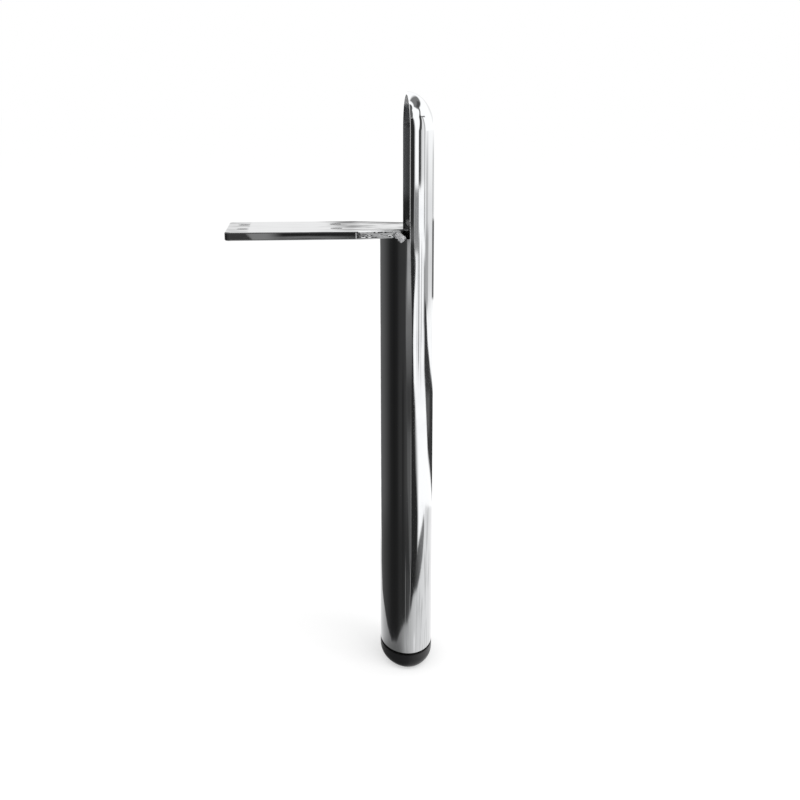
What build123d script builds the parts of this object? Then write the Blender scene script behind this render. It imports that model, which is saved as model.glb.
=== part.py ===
from build123d import *
import os

# A chromed steel furniture leg. An oval tube stands on a moulded foot. A flat plate is welded on
# where the half of the tube on the furniture's side ends, and the outer half goes on up as an open
# shell with a domed end, which covers the furniture's corner.
#
# Frame: the origin is the middle of the screw holes, on the plate's upper face, where the furniture
# rests. +Z points up, +X points from the furniture to the tube, and Y runs along the tube's depth.

# Oval tube
tube_width = 30.0            # across the furniture's side, along X
tube_depth = 50.0            # along the furniture's side, along Y
tube_wall = 1.5
tube_below_seat = 244.0      # from the plate's upper face down to the tube's lower end

# Half shell above the plate
shell_straight = 51.0        # from the plate's upper face up to where the dome starts
dome_height = 20.0

# Mounting plate
plate_thickness = 4.5
plate_reach = 97.3           # from the tube's axis to the plate's free end
neck_length = 28.0           # the tapered stretch, measured from the tube's axis
neck_end_width = 34.0
neck_in_shell = 1.0          # how far the neck runs past the tube's axis
plate_corner = 3.0           # corners of the free end
neck_shoulder = 5.0          # where the sides turn into the taper
neck_corner = 2.0            # corners of the neck's end
plate_edge_round = 0.7       # sheared edges, softened by the polish before plating

# Screw holes
hole_diameter = 6.5
hole_spacing_x = 50.0
hole_spacing_y = 20.0
hole_to_free_end = 8.8       # from the free end to the middle of the first holes

# Welds between the neck and the tube's rim
weld_crest = 2.1             # radius over a ripple
weld_valley = 1.8            # radius between two ripples
weld_ripples = 4
weld_tail = 1.0              # tapered end of the run
weld_inner_x = 6.4           # from the tube's axis, at the neck's side
weld_inner_inset = 5.4       # in from the tube's side, at the neck's side
weld_outer_x = 3.4           # from the tube's axis: a panel still lies flat on the shell's cut edge
weld_outer_inset = 1.3       # in from the tube's side, at the tube's rim
weld_inner_depth = 2.9       # below the plate's upper face
weld_outer_depth = 5.0

# Foot
foot_height = 11.0
foot_round = 6.0
foot_groove_height = 0.9     # a groove under the tube's end, which shows as a dark line
foot_groove_depth = 0.6
plug_length = 24.0
plug_wall = 2.0
plug_floor = 5.0             # solid plastic left above the face that stands on the floor
plug_clearance = 0.1         # between a fin and the tube's inner wall
fin_height = 1.3             # how far a fin stands out from the plug
fin_thickness = 1.2
fin_count = 4
fin_pitch = 5.0
first_fin = 4.0              # from the tube's lower end up to the first fin
cap_base_recess = 0.6        # hollow in the face that stands on the floor
cap_base_margin = 2.5        # flat rim round that hollow

# Where things come from the sizes above
leg_axis = plate_reach - hole_to_free_end - hole_spacing_x / 2
free_end = leg_axis - plate_reach
tube_end = -tube_below_seat
floor = tube_end - foot_height
plate_width = tube_depth     # the plate's sides are in line with the tube's
outer_x = tube_width / 2
outer_y = tube_depth / 2
inner_x = outer_x - tube_wall
inner_y = outer_y - tube_wall
overrun = 5.0                # how far a cutting form runs past what it cuts
rim_stretch = weld_outer_depth + 2 * weld_crest


def across_leg(height):
    """The level plane at a height, with its middle on the tube's axis."""
    return Plane(origin=(leg_axis, 0, height))


def oval_dome(half_width, half_depth, rise):
    """A half-round cap over an oval, standing on the level plane with its middle on the Z axis."""
    with BuildPart() as dome:
        with BuildSketch(Plane.XZ):
            with BuildLine():
                Polyline((0, rise), (0, 0), (half_depth, 0))
                EllipticalCenterArc((0, 0), half_depth, rise, start_angle=0, arc_size=90)
            make_face()
        revolve(axis=Axis.Z)
        # The cap is turned round, then narrowed in X to the oval.
        scale(by=(half_width / half_depth, 1, 1))
    return dome.part


outer_dome = oval_dome(outer_x, outer_y, dome_height)
inner_dome = oval_dome(inner_x, inner_y, dome_height - tube_wall)

# The tube: the oval is hollow all the way up, and its furniture half is cut off level with the
# plate's lower face, so that the plate rests on the rim that the cut leaves.
with BuildPart() as leg_tube:
    with BuildSketch(across_leg(tube_end)):
        Ellipse(outer_x, outer_y)
    extrude(amount=tube_below_seat + shell_straight)
    with Locations(across_leg(shell_straight)):
        add(outer_dome)
    with BuildSketch(across_leg(tube_end)):
        Ellipse(inner_x, inner_y)
    extrude(amount=tube_below_seat + shell_straight, mode=Mode.SUBTRACT)
    with Locations(across_leg(shell_straight)):
        add(inner_dome, mode=Mode.SUBTRACT)
    with BuildSketch(across_leg(-plate_thickness)):
        Rectangle(tube_width, tube_depth + 2 * overrun, align=(Align.MAX, Align.CENTER))
    extrude(amount=plate_thickness + shell_straight + dome_height + overrun, mode=Mode.SUBTRACT)
leg_tube.part.label = "leg_tube"

# The plate: a blank with parallel sides and a tapered neck that goes in at the shell's open side.
neck_start = leg_axis - neck_length
neck_end = leg_axis + neck_in_shell
with BuildPart() as mounting_plate:
    with BuildSketch(Plane.XY.offset(-plate_thickness)) as blank:
        with BuildLine():
            Polyline(
                (free_end, -plate_width / 2),
                (neck_start, -plate_width / 2),
                (neck_end, -neck_end_width / 2),
                (neck_end, neck_end_width / 2),
                (neck_start, plate_width / 2),
                (free_end, plate_width / 2),
                close=True,
            )
        make_face()
        fillet(blank.vertices().group_by(Axis.X)[0], plate_corner)
        fillet(blank.vertices().filter_by(lambda v: abs(v.X - neck_start) < 1), neck_shoulder)
        fillet(blank.vertices().group_by(Axis.X)[-1], neck_corner)
        with GridLocations(hole_spacing_x, hole_spacing_y, 2, 2):
            Circle(hole_diameter / 2, mode=Mode.SUBTRACT)
    extrude(amount=plate_thickness)
    rims = mounting_plate.faces().filter_by(Plane.XY)
    fillet([edge for face in rims for edge in face.outer_wire().edges()], plate_edge_round)
mounting_plate.part.label = "mounting_plate"


# The stretch of the tube under the cut, which the welds lie on.
with BuildPart() as rim_form:
    with BuildSketch(across_leg(-plate_thickness)):
        Ellipse(outer_x, outer_y)
        Ellipse(inner_x, inner_y, mode=Mode.SUBTRACT)
    extrude(amount=-rim_stretch)


def weld_bead(side, label):
    """A short rippled run of weld from the neck's side out over the tube's rim."""
    inner = Vector(leg_axis - weld_inner_x, side * (outer_y - weld_inner_inset), -weld_inner_depth)
    outer = Vector(leg_axis - weld_outer_x, side * (outer_y - weld_outer_inset), -weld_outer_depth)
    run = outer - inner
    ripple = run.length / weld_ripples
    with BuildPart() as bead:
        with BuildSketch(Plane(origin=inner, x_dir=run, z_dir=run.cross(Vector(0, 0, 1)))):
            with BuildLine():
                Polyline(
                    (0, weld_valley),
                    (-weld_tail, 0),
                    (run.length + weld_tail, 0),
                    (run.length, weld_valley),
                )
                for step in range(weld_ripples):
                    ThreePointArc(
                        (step * ripple, weld_valley),
                        ((step + 0.5) * ripple, weld_crest),
                        ((step + 1) * ripple, weld_valley),
                    )
            make_face()
        revolve(axis=Axis(inner, run))
        add(mounting_plate.part, mode=Mode.SUBTRACT)
        add(rim_form.part, mode=Mode.SUBTRACT)
    bead.part.label = label
    return bead


weld_bead_front = weld_bead(-1, "weld_bead_front")
weld_bead_back = weld_bead(1, "weld_bead_back")

# The foot: a solid rounded shoe the size of the tube, with a hollow finned plug above it.
plug_x = inner_x - plug_clearance - fin_height
plug_y = inner_y - plug_clearance - fin_height
with BuildPart() as foot_cap:
    with BuildSketch(across_leg(floor)):
        Ellipse(outer_x, outer_y)
    extrude(amount=foot_height)
    fillet(foot_cap.edges().group_by(Axis.Z)[0], foot_round)
    with BuildSketch(across_leg(tube_end)):
        Ellipse(outer_x, outer_y)
        Ellipse(outer_x - foot_groove_depth, outer_y - foot_groove_depth, mode=Mode.SUBTRACT)
    extrude(amount=-foot_groove_height, mode=Mode.SUBTRACT)
    with BuildSketch(across_leg(tube_end)):
        Ellipse(plug_x, plug_y)
    extrude(amount=plug_length)
    for fin in range(fin_count):
        with BuildSketch(across_leg(tube_end + first_fin + fin * fin_pitch)):
            Ellipse(plug_x + fin_height, plug_y + fin_height)
        extrude(amount=fin_thickness)
    with BuildSketch(across_leg(floor + plug_floor)):
        Ellipse(plug_x - plug_wall, plug_y - plug_wall)
    extrude(amount=foot_height - plug_floor + plug_length, mode=Mode.SUBTRACT)
    with BuildSketch(across_leg(floor)):
        Ellipse(outer_x - foot_round - cap_base_margin, outer_y - foot_round - cap_base_margin)
    extrude(amount=cap_base_recess, mode=Mode.SUBTRACT)
foot_cap.part.label = "foot_cap"

os.makedirs("parts", exist_ok=True)
export_step(leg_tube.part, "parts/leg_tube.step")
export_step(mounting_plate.part, "parts/mounting_plate.step")
export_step(weld_bead_front.part, "parts/weld_bead_front.step")
export_step(weld_bead_back.part, "parts/weld_bead_back.step")
export_step(foot_cap.part, "parts/foot_cap.step")
print("leg axis at X =", round(leg_axis, 2), "floor at Z =", floor)
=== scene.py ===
# %% [markdown]
# # A chromed furniture leg
#
# The leg is an oval steel tube with a plate welded on for the screws, an open half shell above the
# plate and a black plastic foot. Bright chrome has almost no colour of its own: it shows the room.
# So this lesson spends most of its care on the room round the leg, and on the small flaws of a
# polished and plated surface that stop it from looking like a perfect mirror.

# %% Load the solid model
from math import cos, pi, radians, sin

import bpy
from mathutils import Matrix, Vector


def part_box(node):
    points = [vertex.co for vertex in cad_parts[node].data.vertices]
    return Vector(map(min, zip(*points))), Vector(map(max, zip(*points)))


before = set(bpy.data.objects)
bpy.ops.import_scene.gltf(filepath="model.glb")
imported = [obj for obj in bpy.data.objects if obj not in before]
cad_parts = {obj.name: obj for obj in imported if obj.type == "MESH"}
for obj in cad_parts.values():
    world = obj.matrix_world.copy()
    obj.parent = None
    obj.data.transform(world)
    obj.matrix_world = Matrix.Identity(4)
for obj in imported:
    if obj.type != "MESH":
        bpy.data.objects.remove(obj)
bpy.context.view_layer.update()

print("nodes:", sorted(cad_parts))

# %% [markdown]
# The room and the marks are laid out round the tube and the plate, so their places come from the
# solid model. The tube is a true oval, and the middle of its box is its axis. The floor is where the
# foot ends, and the seat is the plate's upper face, which the furniture rests on.

# %% Measure the tube, the plate and the floor
tube_low, tube_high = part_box("leg_tube")
seat_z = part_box("mounting_plate")[1][2]
floor_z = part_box("foot_cap")[0][2]
foot_top = tube_low[2]       # the tube's lower end stands on the foot
axis_x = (tube_low[0] + tube_high[0]) / 2
tube_half_width = (tube_high[0] - tube_low[0]) / 2
tube_half_depth = (tube_high[1] - tube_low[1]) / 2
print("tube axis at x =", round(axis_x, 4), "floor at z =", round(floor_z, 4))

# %% [markdown]
# A photograph of a slim product is taken from a little above, with the camera tipped down. The
# angles here are the camera's: it stands level with the top of the shell, so the plate is seen
# almost edge on and the foot from well above.

# %% Place the camera
frame_pixels = 800
lens_pixels = 1177.1         # focal length, in pixels of the square picture
sensor_width = 36.0
nearest, furthest = 0.01, 50.0
camera_tip = radians(14.83)
camera_turn = radians(4.38)
camera_at = Vector((0.01064, -0.64471, 0.07256))

camera_data = bpy.data.cameras.new("camera")
camera_data.sensor_width = sensor_width
camera_data.lens = lens_pixels / frame_pixels * sensor_width
camera_data.clip_start, camera_data.clip_end = nearest, furthest
camera = bpy.data.objects.new("camera", camera_data)
bpy.context.scene.collection.objects.link(camera)
level_part = cos(camera_tip)
look = Vector((sin(camera_turn) * level_part, cos(camera_turn) * level_part, -sin(camera_tip)))
camera.location = camera_at
camera.rotation_mode = "QUATERNION"
camera.rotation_quaternion = look.to_track_quat("-Z", "Y")
bpy.context.scene.camera = camera
print("lens:", round(camera_data.lens, 2), "mm")

# %% [markdown]
# Materials are easier to read as sums than as wires. `Wire` stands for one output of a shader node
# and takes the usual signs, and `Finish` is a material that makes any node in one call.

# %% Shader helpers
class Wire:
    """One output of a shader node, which can be used in sums like a number."""

    def __init__(self, finish, socket):
        self.finish = finish
        self.socket = socket

    def sum(self, operation, first, second):
        return self.finish.node("ShaderNodeMath", {"operation": operation}, {0: first, 1: second})

    def __add__(self, other):
        return self.sum("ADD", self, other)

    __radd__ = __add__

    def __sub__(self, other):
        return self.sum("SUBTRACT", self, other)

    def __rsub__(self, other):
        return self.sum("SUBTRACT", other, self)

    def __mul__(self, other):
        return self.sum("MULTIPLY", self, other)

    __rmul__ = __mul__

    def __gt__(self, other):
        return self.sum("GREATER_THAN", self, other)

    def __abs__(self):
        return self.sum("ABSOLUTE", self, 0.0)


class Finish:
    """The nodes of a material or of the room, with one method that makes any node."""

    def __init__(self, name, tree=None):
        self.material = None
        if tree is None:
            self.material = bpy.data.materials.new(name)
            self.material.use_nodes = True
            tree = self.material.node_tree
        self.tree = tree
        tree.nodes.clear()

    def node(self, kind, settings=None, values=None, output=0):
        made = self.tree.nodes.new(kind)
        for key, value in (settings or {}).items():
            if key == "stops":
                ramp = made.color_ramp
                while len(ramp.elements) < len(value):
                    ramp.elements.new(1.0)
                for element, (place, tone) in zip(ramp.elements, value):
                    element.position = place
                    element.color = (tone, tone, tone, 1.0)
            else:
                setattr(made, key, value)
        for key, value in (values or {}).items():
            socket = made.inputs[key]
            if isinstance(value, Wire):
                self.tree.links.new(value.socket, socket)
            else:
                socket.default_value = value
        return Wire(self, made.outputs[output])

    def noise(self, place, scale, detail=2.0, roughness=0.5):
        return self.node(
            "ShaderNodeTexNoise", None,
            {"Vector": place, "Scale": scale, "Detail": detail, "Roughness": roughness},
        )

    def between(self, value, low, high):
        """Runs smoothly from 0 where the value is low to 1 where it is high."""
        return self.node(
            "ShaderNodeMapRange", {"interpolation_type": "SMOOTHSTEP", "clamp": True},
            {"Value": value, "From Min": low, "From Max": high},
        )

    def larger(self, first, second):
        return self.node("ShaderNodeMath", {"operation": "MAXIMUM"}, {0: first, 1: second})

    def tint(self, share, first, second):
        values = {"Factor": share, "A": first, "B": second}
        return self.node("ShaderNodeMix", {"data_type": "RGBA"}, values, output=2)

    def mixed(self, share, first, second):
        values = {"Factor": share, "A": first, "B": second}
        return self.node("ShaderNodeMix", {"data_type": "VECTOR"}, values, output=1)

    def likeness(self, first, second):
        """How nearly two directions are the same: 1 if they are, 0 at right angles."""
        settings = {"operation": "DOT_PRODUCT"}
        return self.node("ShaderNodeVectorMath", settings, {0: first, 1: second}, output=1)

    def bump(self, height, strength, distance, facing=None):
        values = {"Height": height, "Strength": strength, "Distance": distance}
        if facing is not None:
            values["Normal"] = facing
        return self.node("ShaderNodeBump", None, values)

    def close(self, shader, world=False):
        end = self.tree.nodes.new("ShaderNodeOutputWorld" if world else "ShaderNodeOutputMaterial")
        self.tree.links.new(shader.socket, end.inputs["Surface"])


def grey(tone):
    return (tone, tone, tone, 1.0)


# %% [markdown]
# A mirror shows every fault of a mesh: where the triangles only come near the oval, the edges of
# the reflections tear. A finer mesh would only make the tears smaller. The tube is a true oval with
# a domed end, so the exact direction of its surface can be worked out from the place alone. It takes
# over where the mesh faces roughly the same way, outside and inside. The cut edges and the ends
# stand at right angles to it, and keep the mesh's own direction.

# %% The tube's exact direction
dome_rise = 0.020            # how high the dome stands on the straight tube
wall_thickness = 0.0015
dome_start = tube_high[2] - dome_rise
mesh_agrees = 0.7            # the mesh faces within about 45 degrees of the exact direction


def place_of(finish):
    """The position on the surface, in the leg's own frame."""
    return finish.node("ShaderNodeNewGeometry", output="Position")


def parts_of(finish, vector):
    split = finish.node("ShaderNodeSeparateXYZ", None, {"Vector": vector}).socket.node
    return [Wire(finish, split.outputs[k]) for k in range(3)]


def stretched(finish, place, scale):
    return finish.node("ShaderNodeVectorMath", {"operation": "MULTIPLY"}, {0: place, 1: scale})


def oval_direction(finish, place, inwards):
    """Which way a domed oval tube faces, a wall's thickness further in if asked."""
    x, y, z = parts_of(finish, place)
    lifted = finish.larger(z - dome_start, 0.0)
    steepness = finish.node("ShaderNodeCombineXYZ", None, {
        "X": (x - axis_x) * (tube_half_width - inwards) ** -2,
        "Y": y * (tube_half_depth - inwards) ** -2,
        "Z": lifted * (dome_rise - inwards) ** -2,
    })
    return finish.node("ShaderNodeVectorMath", {"operation": "NORMALIZE"}, {0: steepness})


def true_direction(finish, place):
    """The exact direction of the tube where there is one, and how far the surface is inside."""
    facing = finish.node("ShaderNodeNewGeometry", output="Normal")
    outer = oval_direction(finish, place, 0.0)
    inner = stretched(finish, oval_direction(finish, place, wall_thickness), (-1.0, -1.0, -1.0))
    on_outside = finish.likeness(facing, outer)
    on_inside = finish.likeness(facing, inner)
    exact = finish.mixed(on_outside > mesh_agrees, facing, outer)
    exact = finish.mixed(on_inside > mesh_agrees, exact, inner)
    hidden = finish.between(on_inside, 0.5, 0.9)
    return exact, hidden


print("dome starts at z =", round(dome_start, 4))

# %% [markdown]
# Bright chrome is a mirror with a faint cool tint. A drawn and polished tube is never quite flat:
# long shallow waves run down it, which make the edges of every reflection tremble, and the polish
# leaves faint patches where the mirror is a little hazy. Both come from noise in a bump and in the
# roughness, which costs no triangles. The inside gets no polish, so it is rougher and darker. Just
# above the plate a painted shade darkens it most, where the plate meets the shell. High in the dome
# a pale matt patch is painted light, which stands in for the bright reflection there.

# %% Chrome on the tube
bright, dull = (0.90, 0.91, 0.92, 1.0), (0.84, 0.85, 0.87, 1.0)
# The last two greys are painted: a pale one for the bright reflection high in the dome, and a dark one
# for the shade just above the plate.
unpolished, painted_tip_light, painted_weld_shade = (0.58, 0.59, 0.61, 1.0), grey(0.95), grey(0.20)
tube_wave_scale = (60.0, 60.0, 12.0)     # five times longer along the tube than across it
tube_wave_depth = 0.00003
tip_paint_tilt = 0.142                     # the painted tip light starts lower at the back
tip_paint_low, tip_paint_high = -0.0052, -0.0036   # measured from the top of the dome
# the painted shade above the plate starts at the first height and is full at the second
shade_end_height, shade_full_height = 0.018, 0.009       # heights above the seat


def tube_finish():
    finish = Finish("tube chrome")
    place = place_of(finish)
    facing, hidden = true_direction(finish, place)
    waves = finish.noise(stretched(finish, place, tube_wave_scale), 1.0, 2.0)
    patches = finish.between(finish.noise(place, 38.0, 4.0, 0.6), 0.45, 0.75)
    grain = finish.noise(place, 900.0, 2.0)
    _, y, z = parts_of(finish, place)
    from_top = z + y * tip_paint_tilt - tube_high[2]
    # painted light: high in the dome the inside turns pale and matt, to show the bright reflection
    # there
    painted_tip_mask = hidden * finish.between(from_top, tip_paint_low, tip_paint_high)
    inside = finish.tint(painted_tip_mask, unpolished, painted_tip_light)
    # painted shade: the inside darkens towards the seat, where the plate meets the shell
    inside = finish.tint(finish.between(z, seat_z + shade_end_height, seat_z + shade_full_height), inside, painted_weld_shade)
    surface = finish.node("ShaderNodeBsdfPrincipled", None, {
        "Base Color": finish.tint(hidden, finish.tint(patches, bright, dull), inside),
        "Metallic": 1.0 - painted_tip_mask * 0.8,
        "Roughness": 0.03 + patches * 0.03 + grain * 0.02 + hidden * 0.22 + painted_tip_mask * 0.25,
        "Normal": finish.bump(waves, 1.0, tube_wave_depth, facing),
    })
    finish.close(surface)
    return finish.material


tube_chrome = tube_finish()
print(tube_chrome.name, "nodes:", len(tube_chrome.node_tree.nodes))

# %% [markdown]
# The plate is flat, so its shine is sharper. Seen almost edge on, its face shows dark streaks, most
# of them near the weld, along the far side and at the free end. There the face is rougher from
# polishing and handling, and darker by a painted reflection. Chrome seen at so low an angle is nearly
# white whatever its colour is, so a darker colour wouldn't show. A near-black matt grey is mixed in
# there instead, as a painted dark reflection.

# %% Painted reflections and rubbing on the plate
streaks_start, streaks_full = 0.012, 0.030   # they grow from here towards the weld
neck_start, neck_slope = 0.0355, 0.286   # where the plate starts to taper, and how fast
far_low, far_high = 0.0165, 0.0210       # how far across the plate its dull far side starts
free_end_start, free_end_full = -0.0212, -0.0222
streak_scale = (40.0, 150.0, 90.0)       # drawn out along the plate


def plate_rubs_and_reflections(finish, place):
    """How much of the plate's upper face is rougher from rubbing and darkened by a painted reflection.
    """
    x, y, _ = parts_of(finish, place)
    streaks = finish.noise(stretched(finish, place, streak_scale), 1.0, 3.0, 0.6)
    streaks = finish.between(streaks, 0.46, 0.62)
    near_weld = finish.between(x, streaks_start, streaks_full)
    taper = finish.larger(x - neck_start, 0.0) * neck_slope
    far_side = near_weld * finish.between(y + taper, far_low, far_high)
    center_patch = finish.between(x, 0.019, 0.028) * finish.between(x, 0.043, 0.033)
    center_patch = center_patch * finish.between(y, -0.006, 0.005)
    free_end = finish.between(x, free_end_start, free_end_full)
    # the streaks, the far side, the middle patch and the free end are rougher and carry the painted
    # dark reflection
    rubs_and_reflections = streaks * (0.05 + near_weld * 0.5 + free_end * 0.3)
    rubs_and_reflections = finish.larger(rubs_and_reflections + center_patch * 0.3, far_side * 0.7)
    return finish.larger(rubs_and_reflections, free_end * 0.09)


print("marks grow from x =", streaks_start, "and the neck starts at x =", neck_start)

# %% [markdown]
# The screw holes are punched. Their walls are a pale matt grey in place of chrome, a painted light for
# the brightness seen in them. The sides of the neck are ground by hand before it is welded, so they
# wave far more than the face does.

# %% Chrome on the plate
hole_x, hole_y, hole_radius = 0.025, 0.010, 0.00325   # the four holes lie evenly round the origin
rim_low, rim_high = 0.0006, 0.0002       # the plate's rounded rim, below the seat
# the first grey is painted light on the hole walls, the second a painted dark reflection on the face
painted_hole_light, painted_reflection_grey = grey(0.66), grey(0.05)
plate_wave_scale, plate_wave_depth = (40.0, 90.0, 90.0), 0.000003
ground_scale = (130.0, 130.0, 420.0)
ground_depth = 45.0                      # how much deeper the ground sides wave


def hole_walls(finish, place):
    """1 within a hair of a screw hole's wall, 0 further out."""
    x, y, _ = parts_of(finish, place)
    across = finish.node("ShaderNodeCombineXYZ", None, {"X": abs(x) - hole_x, "Y": abs(y) - hole_y})
    from_hole = finish.node("ShaderNodeVectorMath", {"operation": "LENGTH"}, {0: across}, output=1)
    return finish.between(from_hole, hole_radius + 0.0003, hole_radius + 0.0001)


def plate_finish():
    finish = Finish("plate chrome")
    place = place_of(finish)
    x, _, z = parts_of(finish, place)
    on_top = finish.between(z, seat_z - rim_low, seat_z - rim_high)
    rubs_and_reflections = plate_rubs_and_reflections(finish, place) * on_top
    # painted light: the hole walls turn a pale matt grey in place of chrome
    punched = hole_walls(finish, place) * (1.0 - on_top)
    waves = finish.noise(stretched(finish, place, plate_wave_scale), 1.0, 2.0)
    ground = finish.noise(stretched(finish, place, ground_scale), 1.0, 2.0)
    neck_side = finish.between(x, neck_start - 0.001, neck_start + 0.002) * (1.0 - on_top)
    patches = finish.between(finish.noise(place, 60.0, 4.0, 0.6), 0.48, 0.75)
    polished = finish.node("ShaderNodeBsdfPrincipled", None, {
        "Base Color": finish.tint(punched, bright, painted_hole_light),
        "Metallic": 1.0 - punched * 0.8,
        "Roughness": 0.012 + patches * 0.02 + rubs_and_reflections * 0.12 + punched * 0.5,
        "Normal": finish.bump(waves + ground * neck_side * ground_depth, 1.0, plate_wave_depth),
    })
    # painted reflection: a near-black matt grey stands in for the dark streaks the face reflects
    dark_reflection_shader = finish.node("ShaderNodeBsdfPrincipled", None, {
        "Base Color": painted_reflection_grey, "Roughness": 0.9, "Specular IOR Level": 0.0,
    })
    finish.close(finish.node("ShaderNodeMixShader", None, {0: rubs_and_reflections, 1: polished, 2: dark_reflection_shader}))
    return finish.material


plate_chrome = plate_finish()
print(plate_chrome.name, "nodes:", len(plate_chrome.node_tree.nodes))

# %% [markdown]
# The weld keeps its rough skin under the plating, which sits on it unevenly. It is a bright but
# broken surface: lumps in the bump, pits in the colour, and only half of it a metal's mirror.

# %% Chrome on the welds
weld_pit, weld_shine = (0.62, 0.63, 0.65, 1.0), (0.96, 0.96, 0.97, 1.0)
weld_lump_depth = 0.0009


def weld_finish():
    finish = Finish("weld chrome")
    place = place_of(finish)
    lumps = finish.noise(place, 620.0, 3.0, 0.6)
    pits = finish.between(finish.noise(place, 1500.0, 3.0, 0.6), 0.42, 0.60)
    surface = finish.node("ShaderNodeBsdfPrincipled", None, {
        "Base Color": finish.tint(pits, weld_pit, weld_shine),
        "Metallic": 0.45,
        "Roughness": 0.42 - pits * 0.16,
        "Normal": finish.bump(lumps, 1.0, weld_lump_depth),
    })
    finish.close(surface)
    return finish.material


weld_chrome = weld_finish()
print(weld_chrome.name, "nodes:", len(weld_chrome.node_tree.nodes))

# %% [markdown]
# The foot is black polypropylene, moulded against a lightly textured steel: a satin surface with a
# fine grain, dusted by the floor along its lower edge. No light gets into the groove under the tube,
# so the plastic is blackest there.

# %% Black plastic
plastic_black, dusty = (0.015, 0.015, 0.016, 1.0), (0.05, 0.05, 0.052, 1.0)
groove_black = grey(0.002)
dust_height = 0.006
groove_low, groove_high = 0.0019, 0.0012       # measured down from the tube's end
scuff_scale = (160.0, 160.0, 900.0)
grain_depth = 0.00008


def black_plastic():
    finish = Finish("foot plastic")
    place = place_of(finish)
    z = parts_of(finish, place)[2]
    grain = finish.noise(place, 2600.0, 2.0)
    scuffs = finish.noise(stretched(finish, place, scuff_scale), 1.0, 4.0)
    scuffs = finish.between(scuffs, 0.52, 0.74)
    low_down = finish.between(z, floor_z + dust_height, floor_z)
    in_groove = finish.between(z, foot_top - groove_low, foot_top - groove_high)
    colour = finish.tint(scuffs * low_down, plastic_black, dusty)
    colour = finish.tint(in_groove, colour, groove_black)
    surface = finish.node("ShaderNodeBsdfPrincipled", None, {
        "Base Color": colour,
        "Roughness": 0.28 + grain * 0.12 + scuffs * 0.1 + in_groove * 0.4,
        "Normal": finish.bump(grain, 0.35, grain_depth),
    })
    finish.close(surface)
    return finish.material


foot_plastic = black_plastic()
print(foot_plastic.name, "nodes:", len(foot_plastic.node_tree.nodes))

# %% [markdown]
# The solid model already has every piece of the leg as a node of its own, so nothing is added to it.
# Each node only gets its finish. The two welds share one.

# %% Give each node its material
node_finish = {
    "leg_tube": tube_chrome,
    "mounting_plate": plate_chrome,
    "weld_bead_front": weld_chrome,
    "weld_bead_back": weld_chrome,
    "foot_cap": foot_plastic,
}
for node, material in node_finish.items():
    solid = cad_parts[node]
    for slot in solid.material_slots:
        slot.material = material
    print(node, "->", material.name, len(solid.data.polygons), "faces")

# %% [markdown]
# The floor is pale paper. It is an ordinary matt surface, so the leg shades it softly. A light of
# its own, which only the camera meets, lifts the open floor to white, as paper is shown in a studio
# picture, and a soft shade near the foot stays. Mirrors don't meet the floor: they show the
# painted room below, which has the floor in it.

# %% Floor
def sheet_mesh(name, corners, faces):
    mesh = bpy.data.meshes.new(name)
    mesh.from_pydata(corners, [], faces)
    mesh.update()
    made = bpy.data.objects.new(name, mesh)
    bpy.context.scene.collection.objects.link(made)
    return made


ambient = 0.86               # how brightly the room lights matt surfaces
paper_white = 0.60
floor_reach = 12.0
floor = sheet_mesh(
    "floor",
    [(-floor_reach, -floor_reach, floor_z), (floor_reach, -floor_reach, floor_z),
     (floor_reach, floor_reach, floor_z), (-floor_reach, floor_reach, floor_z)],
    [(0, 1, 2, 3)],
)
paper = Finish("white paper")
to_camera = paper.node("ShaderNodeLightPath", output="Is Camera Ray")
matt = paper.node("ShaderNodeBsdfDiffuse", None, {"Color": grey(paper_white)})
lift = paper.node("ShaderNodeEmission", None, {"Strength": to_camera * (1.0 - paper_white * ambient)})
paper.close(paper.node("ShaderNodeAddShader", None, {0: matt, 1: lift}))
floor.data.materials.append(paper.material)
floor.visible_glossy = False
print("floor at", round(floor_z, 4), "reaches", floor_reach, "m each way")

# %% [markdown]
# A photographer sets dark cards beside chrome to draw its form: without them a mirror in a white
# room is all white. Here the room is painted straight on to the sky round the leg, as it looks from
# the tube: an angle round the leg, 0 towards the camera's side and positive to the picture's right,
# and a height above level. Only mirrors see this painting. Matt surfaces are lit by an even white
# tent, and the camera sees white behind the leg.

# %% The painted room: directions
world = bpy.data.worlds.new("room")
world.use_nodes = True
world.cycles.sampling_method = "NONE"
bpy.context.scene.world = world
room = Finish("room", world.node_tree)
direction = room.node("ShaderNodeTexCoord", output="Generated")
to_right, to_back, upward = parts_of(room, direction)
full_turn = 360.0
per_radian = full_turn / (2 * pi)
turn = room.node("ShaderNodeMath", {"operation": "ARCTAN2"}, {0: to_right, 1: to_back * -1.0})
around = turn * per_radian
height = room.node("ShaderNodeMath", {"operation": "ARCSINE"}, {0: upward}) * per_radian
print("room painting starts, nodes:", len(world.node_tree.nodes))

# %% [markdown]
# A few small tools do the painting. `span` is a soft-edged band, and `panel` is a soft-edged piece
# between two angles and two heights. `course` is a line that rises and falls as it goes round the
# leg, and `side` is an upright line that leans to and fro. `paint` lays a grey over what is already
# there. The greys are written as they look on a screen, from 0 to 255, and the mirror's own loss is
# made up for. Panels of real cloth and card would do the same, with many more shapes to place.

# %% The painted room: tools
mirror_loss = 0.90
full_level = 255.0
deepest = 32.0               # the lines run from level down to this many degrees below it


def light_of(level):
    """The light that a mirror has to meet, to look like this grey on a screen."""
    share = level / full_level
    return (((share + 0.055) / 1.055) ** 2.4 if share > 0.04045 else share / 12.92) / mirror_loss


def over(value, line, soft):
    return room.between(value - line, -soft, soft)


def under(value, line, soft):
    return room.between(value - line, soft, -soft)


def excess(value, line):
    return room.larger(value - line, 0.0)


def span(value, start, end, soft):
    return over(value, start, soft) * under(value, end, soft)


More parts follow.
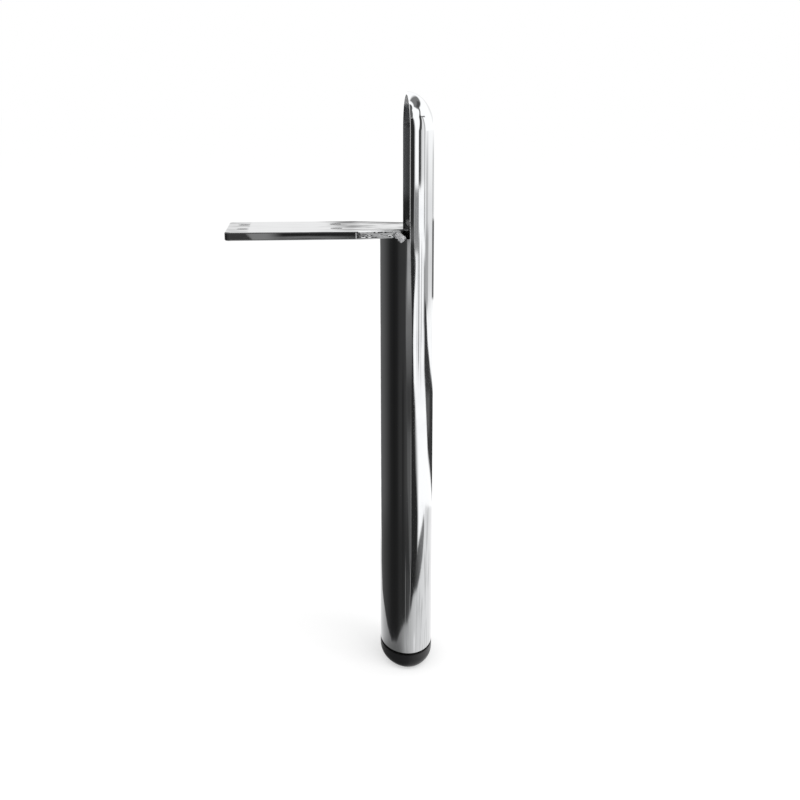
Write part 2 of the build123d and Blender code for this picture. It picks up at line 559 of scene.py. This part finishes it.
def panel(start, end, soft, low, low_soft, high, high_soft):
    """Two angles and how soft they are, then each height and how soft it is."""
    return span(around, start, end, soft) * over(height, low, low_soft) * under(height, high, high_soft)


def course(*points):
    """The height of a line round the room, through points of an angle and a height."""
    stops = [((angle + full_turn / 2) / full_turn, -rise / deepest) for angle, rise in points]
    share = around * (1.0 / full_turn) + 0.5
    return room.node("ShaderNodeValToRGB", {"stops": stops}, {"Fac": share}) * -deepest


def side(*points):
    """The angle of an upright line, through points of a height and an angle, lowest first."""
    half = full_turn / 2
    stops = [((rise + deepest) / deepest, (angle + half) / full_turn) for rise, angle in points]
    share = height * (1.0 / deepest) + 1.0
    return room.node("ShaderNodeValToRGB", {"stops": stops}, {"Fac": share}) * full_turn - half


def shades(*points):
    """A grey that changes smoothly as it goes round the room, through angles and greys."""
    stops = [((angle + full_turn / 2) / full_turn, light_of(level)) for angle, level in points]
    return room.node("ShaderNodeValToRGB", {"stops": stops}, {"Fac": around * (1.0 / full_turn) + 0.5})


def paint(below_it, level, mask):
    light = level if isinstance(level, Wire) else light_of(level)
    return below_it + (light - below_it) * mask


# %% [markdown]
# The room starts white. On the right it has a pale wall with soft folds, and in front of it hang
# pale and grey cards, which the tube draws out into thin upright lines.

# %% The painted room: the pale right side
room_white = 253
fold_place = room.node("ShaderNodeCombineXYZ", None, {"X": around * 0.16, "Y": height * 0.10})
folds = room.between(room.noise(fold_place, 1.0, 3.0, 0.6), 0.48, 0.60)
pale_cards = (
    # grey, from angle, to angle, how soft, from height, how soft, to height, how soft
    (190, 105.0, 118.0, 3.0, -8.2, 0.5, -2.4, 1.8),
    (172, 94.0, 101.0, 1.5, -6.8, 0.5, -2.0, 1.5),
    (142, 61.0, 68.0, 2.5, -13.2, 0.4, -6.8, 0.4),
    (196, 78.0, 84.0, 2.5, -12.0, 0.6, -7.4, 0.6),
    (142, 95.0, 112.0, 3.0, -11.4, 0.5, -8.0, 0.5),
    (160, 103.0, 122.0, 5.0, -10.4, 0.5, -6.6, 0.5),
    (178, 147.0, 157.0, 3.0, -6.0, 0.5, -2.6, 1.0),
    (96, 147.0, 176.0, 3.0, -9.9, 0.12, -6.1, 0.12),
)
tone = room.node("ShaderNodeValue")
tone.socket.default_value = light_of(room_white)
tone = paint(tone, 224, panel(108.0, 172.0, 12.0, -10.0, 1.0, -3.2, 3.0))
tone = paint(tone, 205, panel(42.0, 150.0, 6.0, -14.0, 0.8, -7.6, 0.8) * folds)
for level, *edges in pale_cards:
    tone = paint(tone, level, panel(*edges))
print("pale side painted, nodes:", len(world.node_tree.nodes))

# %% [markdown]
# The floor near the foot is pale, and darker on the left and in the foot's own shade. Past a curved
# edge the left and the front are black cloth. The edge is one course, drawn where the tube shows it.

# %% The painted room: where the pale floor ends
cloth_edge = course(
    (-180, -20.0), (-165, -22.0), (-156, -24.0), (-142, -24.9), (-128, -25.7), (-116, -26.15),
    (-106, -26.44), (-80, -26.48), (-70, -26.3), (-53, -25.92), (-36, -25.66), (-11, -25.55),
    (-4, -25.35), (12, -25.0), (22, -24.75), (30, -24.4), (40, -24.2), (60, -24.0),
    (80, -23.3), (95, -22.5), (105, -21.3), (110, -20.0),
)
edge_soft = 0.1
near_floor = under(height, cloth_edge, edge_soft)
cloth = over(height, cloth_edge, edge_soft)
print("floor's edge drawn, nodes:", len(world.node_tree.nodes))

# %% [markdown]
# Noise that is drawn out downwards smears the floor, as a ground tube smears what it shows. The
# foot's shade lies on the left, and a short glint in front.

# %% The painted room: the near floor
smear_place = room.node("ShaderNodeCombineXYZ", None, {"X": around * 0.11, "Y": height * 0.5})
smears = room.between(room.noise(smear_place, 1.0, 2.0), 0.50, 0.66)
floor_shades = shades(
    (-180, 235), (-158, 190), (-142, 158), (-120, 122), (-90, 104), (-60, 118), (-30, 146),
    (0, 162), (25, 182), (50, 197), (80, 208), (110, 214), (140, 220), (170, 245),
)
foot_shade = near_floor * span(around, -162.0, -52.0, 24.0) * under(height, -26.5, 0.5)
glint = near_floor * span(around, 36.0, 46.0, 3.0) * span(height, -26.9, -26.1, 0.2)
tone = paint(tone, floor_shades, near_floor)
tone = paint(tone, 222, span(around, 108.0, 172.0, 8.0) * span(height, cloth_edge, -21.2, 0.5))
tone = paint(tone, 182, near_floor * span(around, -20.0, 140.0, 30.0) * smears)
tone = paint(tone, 92, foot_shade)
tone = paint(tone, 245, glint * 0.5)
print("near floor painted, nodes:", len(world.node_tree.nodes))

# %% [markdown]
# The cloth is darkest to the left of the camera. One narrow fold in it catches some light, and runs
# up the tube as a fine line.

# %% The painted room: the dark left
cloth_shades = shades(
    (-170, 110), (-160, 92), (-140, 78), (-122, 56), (-108, 34), (-92, 27), (-76, 31),
    (-64, 47), (-48, 51), (-30, 52), (-18, 62), (10, 60),
)
tone = paint(tone, cloth_shades, cloth * span(around, -163.0, 11.0, 2.0))
tone = paint(tone, 30, cloth * span(around, -152.0, 11.0, 12.0) * under(height, -20.5, 1.5) * 0.45)
tone = paint(tone, 38, cloth * span(around, -48.0, -36.0, 5.0) * span(height, -25.6, -13.5, 1.5))
tone = paint(tone, 104, cloth * span(around, -25.2, -20.8, 1.2) * under(height, -22.8, 0.8))
print("dark left painted, nodes:", len(world.node_tree.nodes))

# %% [markdown]
# In front a black post stands beside a strip of light. The post's right edge wavers, as a straight
# edge does in a tube that isn't quite straight. So its course is drawn here, point by point.

# %% The painted room: the black post in front
post_right = side(
    (-23.2, 62.0), (-20.6, 66.0), (-18.7, 60.0), (-16.8, 52.0), (-15.6, 46.0), (-15.0, 43.0),
    (-14.0, 33.0), (-12.0, 27.0), (-10.0, 33.0), (-9.0, 40.0), (-8.2, 45.0), (-7.6, 34.0),
    (-6.5, 25.0), (-5.0, 31.0), (-4.0, 35.0), (0.0, 33.0),
)
post_left = side((-23.0, 17.0), (-14.0, 13.5), (-8.0, 9.0), (0.0, 8.0))
post_blur = side((-20.0, 8.0), (-18.0, 16.0), (-16.5, 14.0), (-15.0, 4.0), (-12.0, 3.0), (0.0, 3.0))
post_bends = excess(height, 50.0) * 0.9 + excess(height, 70.0) * 9.0
past_right = around - post_right - post_bends
post = over(around, post_left, 1.0) * room.between(past_right, post_blur, post_blur * -1.0)
post_grey_from = 46.0
tone = paint(tone, 136, panel(12.0, 62.0, 1.5, -7.7, 0.1, -4.62, 0.1))
tone = paint(tone, 84, panel(20.0, 38.0, 6.0, -6.8, 0.1, -4.62, 0.1))
tone = paint(tone, 38, post * room.between(height, -23.2, -22.9) * under(height, post_grey_from, 3.0))
tone = paint(tone, 92, post * over(height, post_grey_from, 3.0))
print("post painted, nodes:", len(world.node_tree.nodes))

# %% [markdown]
# The strip beside the post is brightest just below eye level and fades as it goes down.

# %% The painted room: the light strip
strip_left = side(
    (-22.7, 3.0), (-21.0, -2.0), (-19.0, -11.0), (-17.0, -13.0), (-15.0, -14.0), (-12.0, -23.0),
    (-9.5, -23.0), (-8.0, -17.0), (-6.9, -14.0),
)
strip_right = side(
    (-22.7, 17.0), (-19.0, 15.0), (-15.0, 14.0), (-13.0, 19.0), (-11.0, 18.0), (-9.0, 11.0),
    (-6.9, 6.0),
)
strip = over(around, strip_left, 3.0) * under(around, strip_right, 2.0)
strip_foot, strip_top, strip_soft = -22.9, -7.05, 0.06
below_top = under(height, strip_top, strip_soft)
bright_part = strip * span(around, -14.0, 20.0, 4.0) * room.between(height, -11.0, -8.8)
tone = paint(tone, 84, strip * span(height, strip_foot, strip_top, strip_soft))
tone = paint(tone, 60, strip * span(height, -16.2, -13.8, 0.6))
tone = paint(tone, 106, strip * room.between(height, -13.4, -11.4) * below_top)
tone = paint(tone, 152, bright_part * below_top)
tone = paint(tone, 62, cloth * span(around, -14.0, 3.0, 3.0) * under(height, -23.2, 0.3))
tone = paint(tone, 96, cloth * span(around, 3.0, 16.0, 2.0) * under(height, -24.2, 0.3))
print("strip painted, nodes:", len(world.node_tree.nodes))

# %% [markdown]
# The pale floor in front ends in a dark edge, which runs up the tube as a dark point near the foot.
# On the right a dark wedge comes in from behind, which the tube shows at half its height.

# %% The painted room: the dark edge in front and the wedge on the right
edge_top = course((0, -22.8), (50, -22.7), (70, -21.7), (85, -21.2), (100, -20.5), (110, -20.3))
edge_shades = shades((10, 32), (30, 30), (44, 36), (56, 68), (70, 84), (84, 106), (100, 116))
front_edge = cloth * under(height, edge_top, 0.12) * span(around, 12.0, 106.0, 2.0)
tone = paint(tone, edge_shades, front_edge)
wedge_top = course((98, -9.8), (110, -10.2), (120, -12.0), (140, -13.4), (165, -14.3), (180, -14.5))
wedge_low = course(
    (97, -13.2), (105, -14.0), (115, -15.5), (125, -17.4), (140, -18.2), (165, -19.6), (180, -20.0),
)
wedge = under(height, wedge_top, 0.25) * over(height, wedge_low, 0.4) * span(around, 100.0, 176.0, 3.5)
tone = paint(tone, 54, wedge)
tone = paint(tone, 88, wedge * span(around, 110.0, 136.0, 5.0) * span(height, -16.4, -14.5, 0.4))
print("edge and wedge painted, nodes:", len(world.node_tree.nodes))

# %% [markdown]
# The plate's edge is almost level with the eye, so it shows a very narrow piece of the front: black
# at its free end, then a grey step, and further on black over grey. The neck's side faces more to
# the right, and shows a grey and a bright line there.

# %% The painted room: what the plate's edge shows
edge_low, edge_high, narrow_soft = -7.10, -6.6, 0.03
edge_band = span(height, edge_low, edge_high, narrow_soft)
step_side = (height + 6.74) * -1.07 - 3.04
neck_view = span(around, 33.2, 36.0, 0.2)
tone = paint(tone, 32, edge_band * span(around, -6.0, 3.2, 0.1))
tone = paint(tone, 100, span(height, -7.02, -6.90, narrow_soft) * span(around, -2.0, 2.0, 1.2))
tone = paint(tone, 118, edge_band * over(around, step_side, 0.06) * under(around, -1.7, 0.5))
tone = paint(tone, 54, edge_band * under(around, step_side, 0.06) * over(around, -6.0, 0.5))
tone = paint(tone, 222, edge_band * span(around, 3.0, 8.0, 0.8))
tone = paint(tone, 104, edge_band * span(around, 8.0, 33.0, 0.8))
tone = paint(tone, 118, edge_band * neck_view)
tone = paint(tone, 226, neck_view * span(height, -7.16, -6.94, 0.04))
print("plate's edge painted, nodes:", len(world.node_tree.nodes))

# %% [markdown]
# Above eye level the shell and its dome look for the room. The left is grey cloth, up over the leg.
# A lit wall with a window's bars and a dark post stand on the right, and the post leans over as the
# dome bends it.

# %% The painted room: above eye level
high_up = over(height, -6.62, 0.04)
tone = paint(tone, 84, high_up * span(around, -160.0, 9.0, 2.0) * under(height, 40.0, 6.0))
tone = paint(tone, 84, over(height, 36.0, 4.0) * span(around, -120.0, 9.0, 4.0))
tone = paint(tone, 44, high_up * span(around, -100.0, 9.0, 2.0) * under(height, -4.9, 0.4))
tone = paint(tone, 160, high_up * span(around, 32.0, 37.5, 1.0) * under(height, 40.0, 4.0))
wall_foot, wall_top = -4.4, 70.0
slanting = height + around * 0.435
below_wall_top = under(slanting, wall_top, 1.0)
for level, start, end, soft, foot_soft in (
    (224, 76.0, 101.0, 2.0, 0.5),
    (176, 77.0, 81.0, 1.5, 0.3),
    (176, 94.0, 100.0, 1.5, 0.3),
):
    lit = span(around, start, end, soft) * over(height, wall_foot, foot_soft)
    tone = paint(tone, level, lit * below_wall_top)
tone = paint(tone, 110, span(around, 85.0, 112.0, 2.0) * span(slanting, 69.4, 72.2, 0.7))
lean = excess(height, 0.0) * 0.5 + excess(height, 36.0) * 2.0 - excess(height, 44.0) * 1.8
side_post = span(around - lean, 60.0, 75.5, 2.0)
tone = paint(tone, 64, span(height, -4.55, 44.0, 0.2) * side_post)
tone = paint(tone, 116, span(height, 44.0, 59.0, 0.5) * side_post)
print("right above eye level painted, nodes:", len(world.node_tree.nodes))

# %% [markdown]
# The ceiling has a grey patch that only the dome catches. Behind the leg the white dims a little
# above eye level. Low down on the left it is dark, which is what the inside of the shell shows.

# %% The painted room: the ceiling, behind, and low on the left
patch_foot = around * -0.4 + 91.0
ceiling_patch = over(height, patch_foot, 2.5) * span(around, 98.0, 161.0, 5.0)
ceiling_patch = ceiling_patch * under(height, 67.0, 3.0)
dark_corner = span(around, 108.0, 142.0, 6.0) * under(height + around * 0.35, 96.0, 4.0)
behind = 1.0 - span(around, -150.0, 150.0, 5.0)
tone = paint(tone, 118, ceiling_patch)
tone = paint(tone, 74, ceiling_patch * dark_corner)
tone = paint(tone, 228, span(height, 2.0, 12.0, 1.5) * behind)
tone = paint(tone, 75, panel(-115.0, 8.0, 6.0, -62.0, 4.0, -27.5, 1.0))
print("ceiling painted, nodes:", len(world.node_tree.nodes))

# %% [markdown]
# The painting must not colour the light on the floor or the foot. A light path tells what kind of
# ray is asking: a mirror gets the painting, the camera and anything seen through get plain white,
# and all matt surfaces get the even light of the tent.

# %% The painted room: who sees it
path = room.node("ShaderNodeLightPath", output="Is Camera Ray")
shiny = Wire(room, path.socket.node.outputs["Is Glossy Ray"])
clear = Wire(room, path.socket.node.outputs["Is Transmission Ray"])
plain = room.larger(path, clear)
matt_or_plain = ambient + plain * (1.0 - ambient)
strength = matt_or_plain + (tone - matt_or_plain) * shiny
background = room.node("ShaderNodeBackground", None, {"Color": grey(1.0), "Strength": strength})
room.close(background, world=True)
print("room painted, nodes:", len(world.node_tree.nodes))

# %% [markdown]
# One large soft lamp, above and to the right of the camera, gives the floor a shadow to stand the
# leg on. Mirrors don't meet it: its square would show in the dome.

# %% Lamp
lamp_width, lamp_height, lamp_watts = 1.2, 0.9, 9.0
lamp_at = Vector((0.9, -0.9, 1.3))
lamp_aim = Vector((axis_x, 0, -0.1))         # the middle of the leg
lamp_data = bpy.data.lights.new("soft_lamp", "AREA")
lamp_data.shape = "RECTANGLE"
lamp_data.size, lamp_data.size_y = lamp_width, lamp_height
lamp_data.energy = lamp_watts
lamp = bpy.data.objects.new("soft_lamp", lamp_data)
bpy.context.scene.collection.objects.link(lamp)
lamp.location = lamp_at
lamp.visible_glossy = False
lamp.rotation_mode = "QUATERNION"
lamp.rotation_quaternion = (lamp_aim - lamp_at).to_track_quat("-Z", "Y")
print("lamp:", lamp_width, "by", lamp_height, "m,", lamp_watts, "W")

# %% [markdown]
# The picture is shown without any change of contrast, so that the greys come out as they are painted.

# %% Finish
bpy.context.scene.view_settings.view_transform = "Standard"
